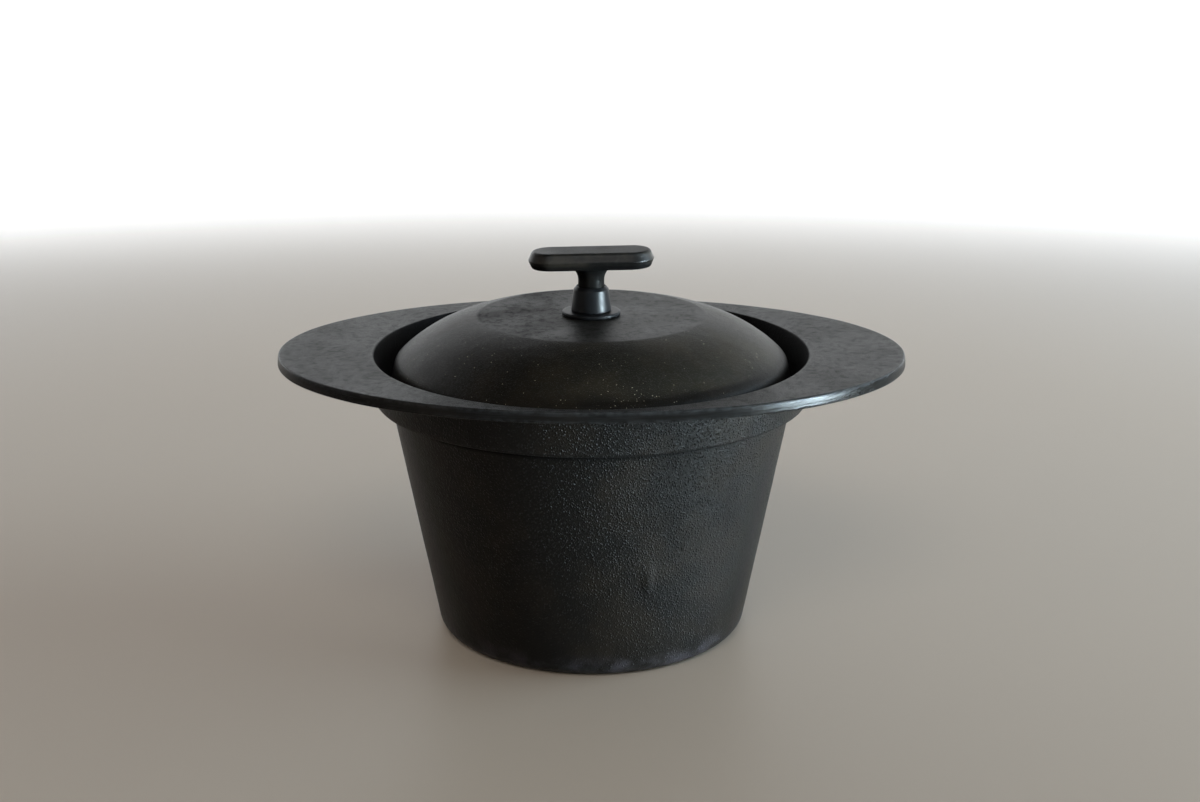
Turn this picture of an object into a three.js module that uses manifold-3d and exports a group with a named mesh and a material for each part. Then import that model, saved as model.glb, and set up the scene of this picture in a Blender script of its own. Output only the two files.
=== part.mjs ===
// Cast iron pot with an oval brim for handles, and a domed lid with a T-shaped handle bolted through it.
// Millimetres, +Z up. The origin is on the base, under the middle of the pot, and +X runs along the brim.
import * as THREE from "three";
import { mergeVertices } from "three/addons/utils/BufferGeometryUtils.js";
import Module from "manifold-3d";

// Driving dimensions of the pot
const rimHeight = 114.5; // base to the brim's top
const mouthRadius = 86.7; // inner edge of the mouth at the brim's top
const brimEndReach = 38.3; // brim beyond the mouth at its two ends, the handles
const brimSideReach = 4.3; // brim beyond the mouth at the front and back
const brimThickness = 4.2;
const brimEdge = 0.5; // eased edge round the brim
const mouthEdge = 0.7; // rounding of the mouth's inner edge
const mouthDepth = 14.5; // brim's top to the ledge that carries the lid
const mouthTaper = 4.7; // how far the collar draws in from the mouth to the ledge
const ledgeWidth = 5;
const ledgeThickness = 3.8;
const ledgeFillet = 1.2;
const lipRadius = 1; // rounding of the ledge's inner lip
const collarWallFoot = 5.2; // collar's wall at the ledge
const collarWallHead = 3.2; // collar's wall under the brim
const collarEdge = 2.5; // rounding under the collar
const collarFillet = 1.2; // collar to the brim's underside
const stepFillet = 1.5; // wall to the collar's underside
const wallThickness = 4.2; // measured level
const floorThickness = 5;
const wallTaper = 18.7; // how far the wall draws in from the ledge to the base
const baseFillet = 5;
const floorFillet = 8;

// Driving dimensions of the lid
const seatGap = 0.3; // lid above its ledge
const lidClearance = 1.3; // lid's edge inside the collar at the ledge
const lidHeight = 28.1; // lid's seat to its flat crown
const lidThickness = 4;
const lidEdge = 0.8; // eased outer edge of the lid's seat
const domeReach = 31.5; // dome's width from the flat crown to the shoulder
const crownSlope = THREE.MathUtils.degToRad(10); // dome's slope where it leaves the crown
const shoulderInset = 3.8; // dome's end inside the lid's edge
const shoulderHeight = 12.4; // dome's end above the lid's seat
const shoulderRadius = 6;
const skirtSlope = THREE.MathUtils.degToRad(78); // skirt below the shoulder

// Driving dimensions of the handle and its fastening
const stackGap = 0.05; // between pieces that are clamped together
const studRadius = 3;
const threadGap = 0.2; // stud to the threaded bores
const boreGap = 0.4; // stud to the plain bores
const seatWasherReach = 3.6; // washer beyond the foot of the ferrule
const seatWasherThickness = 1.5;
const seatWasherEdge = 0.5;
const ferruleHeight = 10.1;
const ferruleTopWall = 1.5; // ferrule's wall round the neck
const ferruleTaper = 1; // how far the ferrule spreads down to its foot
const ferruleShoulder = 1.4; // rounding of the ferrule's top edge
const neckRadius = 5.2;
const neckSeat = 0.8; // neck let into the top of the ferrule
const neckGap = 0.3; // neck to the ferrule's recess
const neckHeight = 7.4; // ferrule's top to the underside of the grip
const neckFlareHeight = 4; // where the neck swells into the grip
const neckFlareAlong = 4; // swelling along the grip
const neckFlareMargin = 0.2; // swelling across the grip, inside the flat of its underside
const gripLength = 49.9;
const gripWidth = 20.2;
const gripCorner = 9.3; // rounded corners of the grip, seen from above
const gripBevel = 1.7; // how far the bevels draw in
const gripUpperBevel = 3.1; // height of the bevel above the grip's widest line
const gripLowerBevel = 2.9; // height of the bevel below it
const gripBand = 0.9; // height of the rounded band at the widest line
const gripEasing = 0.4; // eased edges of the grip
const gripLean = THREE.MathUtils.degToRad(1.4); // the grip is cast a little out of square with its neck
const studGripDepth = 9; // stud's threaded length in the neck and grip
const backWasherRadius = 8;
const backWasherThickness = 1.2;
const nutAcrossFlats = 10;
const nutHeight = 5;
const nutDomeWall = 1.2; // nut's dome round the threaded bore
const nutEndGap = 1.6; // bore past the end of the stud
const cutOver = 2; // how far a cut runs past the face that it opens

// Facets round the turned pieces
const potFacets = 60;
const smallFacets = 36;
const arcSteps = 5;
const smallArcSteps = 3;
const domeSteps = 7;
const filletShare = 0.95; // most of a side that one fillet may take

// Levels and radii that follow from the dimensions
const brimUnderside = rimHeight - brimThickness;
const ledgeZ = rimHeight - mouthDepth;
const ledgeRadius = mouthRadius - mouthTaper;
const lipInnerRadius = ledgeRadius - ledgeWidth;
const wallTopRadius = lipInnerRadius + wallThickness;
const baseRadius = wallTopRadius - wallTaper;
const wallSlope = wallTaper / ledgeZ; // radius gained per millimetre of height
const lidSeatZ = ledgeZ + seatGap;
const lidRadius = ledgeRadius - lidClearance;
const crownRadius = lidRadius - shoulderInset - domeReach;
const crownZ = lidSeatZ + lidHeight;
const seatWasherZ = crownZ + stackGap;
const ferruleZ = seatWasherZ + seatWasherThickness + stackGap;
const ferruleTopZ = ferruleZ + ferruleHeight;
const recessRadius = neckRadius + neckGap;
const ferruleTopRadius = recessRadius + ferruleTopWall;
const ferruleFootRadius = ferruleTopRadius + ferruleTaper;
const seatWasherRadius = ferruleFootRadius + seatWasherReach;
const neckFootZ = ferruleTopZ - neckSeat + stackGap;
const gripZ = ferruleTopZ + neckHeight;
const crownUndersideZ = crownZ - lidThickness;
const backWasherZ = crownUndersideZ - stackGap - backWasherThickness;
const nutTopZ = backWasherZ - stackGap;
const studTopZ = neckFootZ + studGripDepth;
const studFootZ = nutTopZ - nutHeight;
const plainBore = studRadius + boreGap;
const threadBore = studRadius + threadGap;

const wasm = await Module();
wasm.setup();

// A closed three.js geometry as a solid that can be joined and cut.
function solidOf(geometry) {
  const bare = geometry.clone();
  bare.deleteAttribute("normal");
  bare.deleteAttribute("uv");
  const merged = mergeVertices(bare, 1e-3);
  const vertProperties = new Float32Array(merged.attributes.position.array);
  const triVerts = new Uint32Array(merged.index.array);
  return new wasm.Manifold(new wasm.Mesh({ numProp: 3, vertProperties, triVerts }));
}

// A solid as a three.js geometry again.
function geometryOf(solid) {
  const mesh = solid.getMesh();
  const geometry = new THREE.BufferGeometry();
  geometry.setAttribute("position", new THREE.BufferAttribute(new Float32Array(mesh.vertProperties), 3));
  geometry.setIndex(new THREE.BufferAttribute(new Uint32Array(mesh.triVerts), 1));
  geometry.computeVertexNormals();
  return geometry;
}

const point = (radius, z) => new THREE.Vector2(radius, z);

// Points on an arc in a profile; angles are counted from the outward direction towards +Z.
function arc(centreRadius, centreZ, radius, from, to, steps = arcSteps) {
  const points = [];
  for (let i = 0; i <= steps; i++) {
    const angle = from + ((to - from) * i) / steps;
    points.push(point(centreRadius + radius * Math.cos(angle), centreZ + radius * Math.sin(angle)));
  }
  return points;
}

// The arc that rounds the corner at b between the lines from a and to c, limited by the shorter line.
function roundedCorner(a, b, c, wanted, steps = arcSteps) {
  const towardsA = a.clone().sub(b).normalize();
  const towardsC = c.clone().sub(b).normalize();
  const halfAngle = Math.acos(THREE.MathUtils.clamp(towardsA.dot(towardsC), -1, 1)) / 2;
  const room = filletShare * Math.min(a.distanceTo(b), c.distanceTo(b));
  const tangentLength = Math.min(wanted / Math.tan(halfAngle), room);
  const radius = tangentLength * Math.tan(halfAngle);
  const bisector = towardsA.clone().add(towardsC).normalize();
  const centre = b.clone().addScaledVector(bisector, radius / Math.sin(halfAngle));
  const start = b.clone().addScaledVector(towardsA, tangentLength).sub(centre);
  const end = b.clone().addScaledVector(towardsC, tangentLength).sub(centre);
  const from = start.angle();
  let sweep = end.angle() - from;
  if (sweep > Math.PI) sweep -= 2 * Math.PI;
  if (sweep < -Math.PI) sweep += 2 * Math.PI;
  return arc(centre.x, centre.y, radius, from, from + sweep, steps);
}

// A profile, drawn upwards on the outside, turned about the Z axis.
function turned(profile, facets) {
  return new THREE.LatheGeometry(profile, facets).rotateX(Math.PI / 2);
}

// A profile that closes on itself, for a turned piece with a bore.
function turnedRing(profile, facets) {
  return turned([...profile, profile[0].clone()], facets);
}

// A cylinder standing on z = foot.
function cylinder(radius, foot, top, facets = smallFacets) {
  const body = new THREE.CylinderGeometry(radius, radius, top - foot, facets);
  return body.rotateX(Math.PI / 2).translate(0, 0, (foot + top) / 2);
}

const wallRadiusAt = (z) => baseRadius + wallSlope * z;
const collarInnerAt = (z) => ledgeRadius + (mouthTaper * (z - ledgeZ)) / mouthDepth;

// The pot's outside: tapered wall, and a wider collar that steps out under the brim.
function potOutside() {
  const collarUnderside = ledgeZ - ledgeThickness;
  const collarHead = collarInnerAt(brimUnderside) + collarWallHead;
  const collarTaper = (collarHead - ledgeRadius - collarWallFoot) / (brimUnderside - ledgeZ);
  const collarFoot = collarHead - collarTaper * (brimUnderside - collarUnderside);
  const collarFootCorner = point(collarFoot, collarUnderside);
  const collarHeadCorner = point(collarHead, brimUnderside);
  const underBrim = point(collarHead + brimEndReach, brimUnderside);
  const baseCorner = point(baseRadius, 0);
  const stepCorner = point(wallRadiusAt(collarUnderside), collarUnderside);
  const insideBrim = rimHeight - brimThickness / 2;
  return [
    point(0, 0),
    ...roundedCorner(point(0, 0), baseCorner, stepCorner, baseFillet),
    ...roundedCorner(baseCorner, stepCorner, collarFootCorner, stepFillet, smallArcSteps),
    ...roundedCorner(stepCorner, collarFootCorner, collarHeadCorner, collarEdge),
    ...roundedCorner(collarFootCorner, collarHeadCorner, underBrim, collarFillet, smallArcSteps),
    point(collarHead + collarFillet, insideBrim),
    point(0, insideBrim),
  ];
}

// The pot's inside: floor, tapered wall, the ledge for the lid and the flared mouth.
function potInside() {
  const overTop = rimHeight + cutOver;
  const innerWallAt = (z) => wallRadiusAt(z) - wallThickness;
  const floorCorner = point(innerWallAt(floorThickness), floorThickness);
  const lipCorner = point(innerWallAt(ledgeZ), ledgeZ);
  const ledgeCorner = point(ledgeRadius, ledgeZ);
  const mouthCorner = point(mouthRadius, rimHeight);
  const beyondMouth = point(mouthRadius + brimSideReach, rimHeight);
  const mouthRounding = roundedCorner(ledgeCorner, mouthCorner, beyondMouth, mouthEdge, smallArcSteps);
  return [
    point(0, floorThickness),
    ...roundedCorner(point(0, floorThickness), floorCorner, lipCorner, floorFillet),
    ...roundedCorner(floorCorner, lipCorner, ledgeCorner, lipRadius, smallArcSteps),
    ...roundedCorner(lipCorner, ledgeCorner, mouthCorner, ledgeFillet, smallArcSteps),
    ...mouthRounding,
    point(mouthRounding.at(-1).x, overTop),
    point(0, overTop),
  ];
}

// The oval brim, a flat plate with eased edges.
function brimPlate() {
  const oval = new THREE.Shape();
  oval.absellipse(0, 0, mouthRadius + brimEndReach, mouthRadius + brimSideReach, 0, 2 * Math.PI);
  const plate = new THREE.ExtrudeGeometry(oval, {
    depth: brimThickness - 2 * brimEdge,
    curveSegments: potFacets,
    bevelEnabled: true,
    bevelSize: brimEdge,
    bevelOffset: -brimEdge,
    bevelThickness: brimEdge,
    bevelSegments: 2,
  });
  return plate.translate(0, 0, brimUnderside + brimEdge);
}

function potGeometry() {
  const outside = solidOf(turned(potOutside(), potFacets));
  const inside = solidOf(turned(potInside(), potFacets));
  return geometryOf(outside.add(solidOf(brimPlate())).subtract(inside));
}

// The lid's surface from the crown's edge down to its seat, drawn in by inset from the outside.
function lidSurface(inset) {
  const crownEdge = point(crownRadius, crownZ);
  const shoulder = point(lidRadius - shoulderInset, lidSeatZ + shoulderHeight);
  const chord = shoulder.clone().sub(crownEdge);
  const towardsCentre = point(-Math.sin(crownSlope), -Math.cos(crownSlope));
  const domeRadius = chord.lengthSq() / (2 * chord.dot(towardsCentre));
  const domeCentre = crownEdge.clone().addScaledVector(towardsCentre, domeRadius);
  const shoulderSlope = crownSlope + 2 * Math.asin(chord.length() / (2 * domeRadius));
  const intoShoulder = point(-Math.sin(shoulderSlope), -Math.cos(shoulderSlope));
  const shoulderCentre = shoulder.clone().addScaledVector(intoShoulder, shoulderRadius);
  const roundness = Math.max(shoulderRadius - inset, lidEdge); // inside, the shoulder is tighter by the wall
  const upright = Math.PI / 2;
  const domeFrom = upright - crownSlope;
  const domeTo = upright - shoulderSlope;
  const skirtTo = upright - skirtSlope;
  return [
    point(crownRadius - inset * Math.tan(crownSlope / 2), crownZ - inset),
    ...arc(domeCentre.x, domeCentre.y, domeRadius - inset, domeFrom, domeTo, domeSteps),
    ...arc(shoulderCentre.x, shoulderCentre.y, roundness, domeTo, skirtTo, smallArcSteps),
    point(lidRadius - inset, lidSeatZ + lidEdge),
  ];
}

// The lid: a shell with a flat crown, bored for the stud, that seats on its bottom rim.
function lidGeometry() {
  const outer = lidSurface(0);
  const inner = lidSurface(lidThickness);
  const seatOuter = point(lidRadius - lidEdge, lidSeatZ);
  const seatInner = point(lidRadius - lidThickness, lidSeatZ);
  const profile = [
    point(plainBore, crownUndersideZ),
    ...inner.slice(0, -1),
    seatInner,
    seatOuter,
    ...outer.reverse(),
    point(plainBore, crownZ),
  ];
  return turnedRing(profile, potFacets);
}

// The wide washer between the lid's crown and the ferrule.
function seatWasherGeometry() {
  const top = seatWasherZ + seatWasherThickness;
  const edgeFoot = point(seatWasherRadius, seatWasherZ);
  const edgeTop = point(seatWasherRadius, top);
  const boreTop = point(plainBore, top);
  return turnedRing(
    [
      point(plainBore, seatWasherZ),
      point(seatWasherRadius - seatWasherEdge, seatWasherZ),
      point(seatWasherRadius, seatWasherZ + seatWasherEdge),
      ...roundedCorner(edgeFoot, edgeTop, boreTop, seatWasherEdge, smallArcSteps),
      boreTop,
    ],
    smallFacets,
  );
}

// The tapered ferrule, with a rounded top edge and a recess for the neck.
function ferruleGeometry() {
  const foot = point(ferruleFootRadius, ferruleZ);
  const top = point(ferruleTopRadius, ferruleTopZ);
  const recessTop = point(recessRadius, ferruleTopZ);
  const recessZ = ferruleTopZ - neckSeat;
  return turnedRing(
    [
      point(plainBore, ferruleZ),
      foot,
      ...roundedCorner(foot, top, recessTop, ferruleShoulder),
      recessTop,
      point(recessRadius, recessZ),
      point(plainBore, recessZ),
    ],
    smallFacets,
  );
}

// The outline of the grip seen from above, drawn in by inset.
function gripOutline(inset) {
  const halfLength = gripLength / 2 - inset;
  const halfWidth = gripWidth / 2 - inset;
  const corner = Math.min(gripCorner, gripLength / 2, gripWidth / 2) - inset;
  const quarter = Math.PI / 2;
  const outline = [];
  for (let i = 0; i < 4; i++) {
    const alongX = i === 0 || i === 3 ? 1 : -1;
    const alongY = i < 2 ? 1 : -1;
    const centreX = alongX * (halfLength - corner);
    const centreY = alongY * (halfWidth - corner);
    outline.push(...arc(centreX, centreY, corner, i * quarter, (i + 1) * quarter));
  }
  return outline;
}

// A closed solid through outlines at rising levels, each with as many points.
function lofted(levels) {
  const vertices = [];
  const triangles = [];
  const count = levels[0].outline.length;
  for (const { outline, z } of levels) for (const p of outline) vertices.push(p.x, p.y, z);
  for (let level = 0; level + 1 < levels.length; level++) {
    for (let i = 0; i < count; i++) {
      const a = level * count + i;
      const b = level * count + ((i + 1) % count);
      triangles.push(a, b, b + count, a, b + count, a + count);
    }
  }
  const topStart = (levels.length - 1) * count;
  for (let i = 1; i + 1 < count; i++) {
    triangles.push(0, i + 1, i);
    triangles.push(topStart, topStart + i, topStart + i + 1);
  }
  const geometry = new THREE.BufferGeometry();
  geometry.setAttribute("position", new THREE.Float32BufferAttribute(vertices, 3));
  return geometry.setIndex(triangles);
}

// The grip, a bar with wide bevels above and below its widest line.
function gripGeometry() {
  const widestFoot = gripZ + gripLowerBevel;
  const widestTop = widestFoot + gripBand;
  const widest = (widestFoot + widestTop) / 2;
  const top = widestTop + gripUpperBevel;
  const bar = lofted([
    { z: gripZ, outline: gripOutline(gripBevel + gripEasing) },
    { z: gripZ + gripEasing / 2, outline: gripOutline(gripBevel - gripEasing / 2) },
    { z: widestFoot, outline: gripOutline(gripEasing / 2) },
    { z: widest, outline: gripOutline(0) },
    { z: widestTop, outline: gripOutline(gripEasing / 2) },
    { z: top - gripEasing, outline: gripOutline(gripBevel - gripEasing / 2) },
    { z: top, outline: gripOutline(gripBevel + gripEasing) },
  ]);
  return bar.translate(0, 0, -widest).rotateY(-gripLean).translate(0, 0, widest);
}

// An ellipse seen from above.
function ovalOutline(halfLength, halfWidth) {
  return new THREE.EllipseCurve(0, 0, halfLength, halfWidth).getPoints(smallFacets).slice(0, -1);
}

// The neck, round at its foot and swelling, more along the grip than across it, where it joins the grip.
function neckGeometry() {
  const flareZ = gripZ - neckFlareHeight;
  const flareAcross = gripWidth / 2 - gripBevel - gripEasing - neckFlareMargin - neckRadius;
  const levels = [{ z: neckFootZ, outline: ovalOutline(neckRadius, neckRadius) }];
  for (let i = 0; i <= arcSteps; i++) {
    const angle = (Math.PI / 2) * (i / arcSteps);
    const swelling = 1 - Math.cos(angle);
    const outline = ovalOutline(neckRadius + neckFlareAlong * swelling, neckRadius + flareAcross * swelling);
    levels.push({ z: flareZ + neckFlareHeight * Math.sin(angle), outline });
  }
  levels.push({ z: gripZ + gripLowerBevel / 2, outline: levels.at(-1).outline });
  return lofted(levels);
}

// The T-shaped handle: grip and neck in one casting, drilled for the stud.
function handleGeometry() {
  const drilling = cylinder(threadBore, neckFootZ - cutOver, studTopZ + threadGap);
  const casting = solidOf(gripGeometry()).add(solidOf(neckGeometry()));
  return geometryOf(casting.subtract(solidOf(drilling)));
}

function backWasherGeometry() {
  const top = backWasherZ + backWasherThickness;
  return turnedRing(
    [
      point(plainBore, backWasherZ),
      point(backWasherRadius, backWasherZ),
      point(backWasherRadius, top),
      point(plainBore, top),
    ],
    smallFacets,
  );
}

// The cap nut under the lid: a hexagon with a dome that closes over the stud's end.
function capNutGeometry() {
  const hexRadius = nutAcrossFlats / 2 / Math.cos(Math.PI / 6);
  const hexFoot = nutTopZ - nutHeight;
  const hexagon = cylinder(hexRadius, hexFoot, nutTopZ, 6);
  const quarter = Math.PI / 2;
  const dome = arc(0, hexFoot, threadBore + nutDomeWall, -quarter, 0);
  const insideHexagon = nutTopZ - nutHeight / 2;
  const cap = [...dome, point(dome.at(-1).x, insideHexagon), point(0, insideHexagon)];
  const drilling = cylinder(threadBore, studFootZ - nutEndGap, nutTopZ + cutOver);
  const body = solidOf(hexagon).add(solidOf(turned(cap, smallFacets)));
  return geometryOf(body.subtract(solidOf(drilling)));
}

// Finishes: seasoned casting skin, a smoother casting, blackened turned steel and plain steel fasteners.
const castingSkin = { color: 0x1b1b1a, roughness: 0.62, metalness: 0.35 };
const handleCasting = { color: 0x1d1b19, roughness: 0.5, metalness: 0.35 };
const blackenedSteel = { color: 0x14161a, roughness: 0.28, metalness: 0.6 };
const plainSteel = { color: 0x8d8f92, roughness: 0.35, metalness: 1 };

function piece(name, geometry, finish) {
  const mesh = new THREE.Mesh(geometry, new THREE.MeshStandardMaterial(finish));
  mesh.name = name;
  return mesh;
}

const lidAssembly = new THREE.Group();
lidAssembly.add(
  piece("lid", lidGeometry(), castingSkin),
  piece("seat_washer", seatWasherGeometry(), blackenedSteel),
  piece("ferrule", ferruleGeometry(), blackenedSteel),
  piece("t_handle", handleGeometry(), handleCasting),
  piece("stud", cylinder(studRadius, studFootZ, studTopZ), plainSteel),
  piece("back_washer", backWasherGeometry(), plainSteel),
  piece("cap_nut", capNutGeometry(), plainSteel),
);

const pot = new THREE.Group();
pot.add(piece("pot_body", potGeometry(), castingSkin), lidAssembly);

export default pot;
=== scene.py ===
import math

import bmesh
import bpy
import numpy as np
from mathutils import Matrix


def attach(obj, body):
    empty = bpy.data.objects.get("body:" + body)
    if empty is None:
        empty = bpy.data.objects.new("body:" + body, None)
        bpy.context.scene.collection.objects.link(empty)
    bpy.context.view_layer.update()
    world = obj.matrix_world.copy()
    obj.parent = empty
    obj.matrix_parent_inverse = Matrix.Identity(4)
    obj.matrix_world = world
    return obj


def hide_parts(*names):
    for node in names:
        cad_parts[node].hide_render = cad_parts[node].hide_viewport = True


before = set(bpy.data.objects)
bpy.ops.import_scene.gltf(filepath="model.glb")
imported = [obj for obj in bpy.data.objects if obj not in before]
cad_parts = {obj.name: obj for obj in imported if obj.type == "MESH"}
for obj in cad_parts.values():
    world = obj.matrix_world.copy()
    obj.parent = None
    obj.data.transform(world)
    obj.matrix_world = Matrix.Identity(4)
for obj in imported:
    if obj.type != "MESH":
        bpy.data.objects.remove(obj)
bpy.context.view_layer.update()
scene = bpy.context.scene
mm = 0.001
print("frame loaded:", len(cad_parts), "nodes")


class Wire:  # a socket, so that sums on it read as Python
    def __init__(self, board, socket):
        self.board = board
        self.socket = socket

    def __add__(self, other):
        return self.board.sum("ADD", self, other)

    def __radd__(self, other):
        return self.board.sum("ADD", other, self)

    def __sub__(self, other):
        return self.board.sum("SUBTRACT", self, other)

    def __rsub__(self, other):
        return self.board.sum("SUBTRACT", other, self)

    def __mul__(self, other):
        return self.board.sum("MULTIPLY", self, other)

    def __truediv__(self, other):
        return self.board.sum("DIVIDE", self, other)

    def __rtruediv__(self, other):
        return self.board.sum("DIVIDE", other, self)

    def also(self, name):  # another output of the same node
        return Wire(self.board, self.socket.node.outputs[name])


class Board:  # one node tree, for a finish or for a shape
    def __init__(self, tree):
        self.tree = tree
        tree.nodes.clear()

    def node(self, kind, settings=None, sockets=None, out=0):
        made = self.tree.nodes.new(kind)
        for name, value in (settings or {}).items():
            setattr(made, name, value)
        for key, value in (sockets or {}).items():
            if isinstance(value, Wire):
                self.tree.links.new(value.socket, made.inputs[key])
            else:
                made.inputs[key].default_value = value
        return Wire(self, made.outputs[out]) if made.outputs else None

    def sum(self, operation, first, second=0.0):
        return self.node("ShaderNodeMath", {"operation": operation}, {0: first, 1: second})

    def vector(self, operation, first, second, out="Vector"):
        return self.node("ShaderNodeVectorMath", {"operation": operation}, {0: first, 1: second}, out)

    def blend(self, share, first, second):  # from one colour to another
        return self.node("ShaderNodeMix", {"data_type": "RGBA"}, {0: share, 6: first, 7: second}, 2)

    def rise(self, value, low, high):  # 0 below low, 1 above high
        sockets = {"Value": value, "From Min": low, "From Max": high}
        return self.node("ShaderNodeMapRange", {"interpolation_type": "SMOOTHSTEP"}, sockets)


# Profiles of the turned pieces

skinNames = ("pebbled", "ground", "sanded", "inner", "sooty", "threaded")
skins = {
    "cast": (1, 0, 0, 0, 0, 0),
    "ground": (0, 1, 0, 0, 0, 0),
    "sanded": (0, 0, 1, 0, 0, 0),
    "inner": (0.4, 0, 0, 1, 0, 0),
    "sooty": (0.4, 0, 0, 0, 1, 0),
    "plain": (0, 0, 0, 0, 0, 0),
    "threaded": (0, 0, 0, 0, 0, 1),
}
wearReach = 0.7  # how far wear spreads from an edge


def cornerArc(before, here, after, radius, steps):
    back = (before - here) / np.linalg.norm(before - here)
    on = (after - here) / np.linalg.norm(after - here)
    half = math.acos(np.clip(back @ on, -1, 1)) / 2
    along = radius / math.tan(half)
    centre = here + (back + on) / np.linalg.norm(back + on) * radius / math.sin(half)
    start = here + back * along - centre
    end = here + on * along - centre
    first = math.atan2(start[1], start[0])
    sweep = math.remainder(math.atan2(end[1], end[0]) - first, 2 * math.pi)
    angles = first + sweep * np.linspace(0, 1, steps + 1)
    return centre + radius * np.stack((np.cos(angles), np.sin(angles)), 1)


# A corner holds its radius, height, rounding, oval share and wear, then the steps to the next corner
# and the skin on the way there.
def turnedProfile(corners, closed=False):
    count = len(corners)
    spots = [np.array(corner[:2], float) for corner in corners]
    arcs = []
    for i, corner in enumerate(corners):
        rounding = corner[2]
        if rounding:
            steps = 3 + int(rounding)
            arcs.append(cornerArc(spots[i - 1], spots[i], spots[(i + 1) % count], rounding, min(steps, 9)))
        else:
            arcs.append(spots[i][None])
    rows = []
    for i, (_, _, _, oval, wear, steps, skin) in enumerate(corners):
        arc = arcs[i]
        skinBefore, skinAfter = np.array(skins[corners[i - 1][6]]), np.array(skins[skin])
        for j, spot in enumerate(arc):
            share = j / (len(arc) - 1) if len(arc) > 1 else 1
            rows.append([*spot, oval, wear, *(skinBefore + (skinAfter - skinBefore) * share)])
        if i + 1 < count or closed:
            target, nextOval = arcs[(i + 1) % count][0], corners[(i + 1) % count][3]
            for share in np.arange(1, steps) / steps:
                spot = arc[-1] + (target - arc[-1]) * share
                rows.append([*spot, oval + (nextOval - oval) * share, 0, *skinAfter])
    if closed:
        rows.append(list(rows[0]))
    rows = np.array(rows, float)
    lengths = np.concatenate(([0], np.cumsum(np.linalg.norm(np.diff(rows[:, :2], axis=0), axis=1))))
    worn = rows[:, 3] > 0
    if worn.any():
        apart = np.abs(lengths[:, None] - lengths[worn][None])
        rows[:, 3] = (rows[worn, 3] * np.exp(-((apart / wearReach) ** 2))).max(1)
    return rows


# The tree that turns a profile about the upright axis, draws its oval rings out along X, clips it to
# a hexagon, cuts a thread and lays the unevenness of a casting on it

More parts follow.
